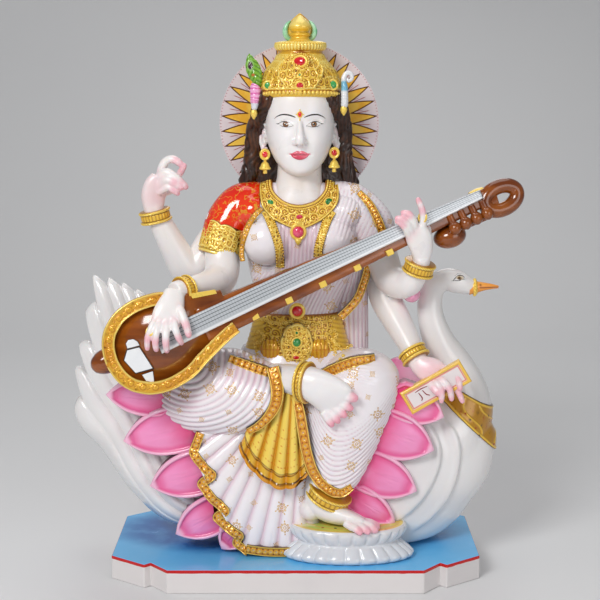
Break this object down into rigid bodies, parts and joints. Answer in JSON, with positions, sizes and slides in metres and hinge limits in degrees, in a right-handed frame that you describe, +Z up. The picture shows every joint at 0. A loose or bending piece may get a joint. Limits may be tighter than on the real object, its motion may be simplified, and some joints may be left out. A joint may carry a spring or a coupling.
{
  "type": "saraswati figure",
  "caption": "Painted marble devotional figure: a four-armed goddess with a lute, seated on a swan and a lotus, on a thin blue-topped plinth.",
  "frame": {"origin": "centre of the plinth's underside", "axes": "+Z up, -Y the way the figure faces, +X to the viewer's right, towards the swan's head"},
  "size_m": [0.6285, 0.2976, 0.7623],
  "materials": {
    "white_marble": null,
    "skin_marble": "polished white marble, pink tinted at fingers, palms and toes",
    "gilding": "embossed gold paint with red, green and dark dots",
    "sari_paint": "pale lilac-pink gloss paint with small gold flowers",
    "red_paint": "red-orange gloss paint with gold motifs",
    "yellow_paint": "yellow-gold gloss paint with orange-brown bands",
    "lute_brown": "glossy brown paint, darker below",
    "lotus_pink": "pink gloss paint, darker at the roots",
    "hair_paint": "dark brown satin paint",
    "plinth_paint": "sky-blue top, thin red edge line, pale marble sides"
  },
  "bodies": {
    "root": {"goddess_on_swan": "white_marble", "plinth": "plinth_paint"}
  },
  "joints": []
}
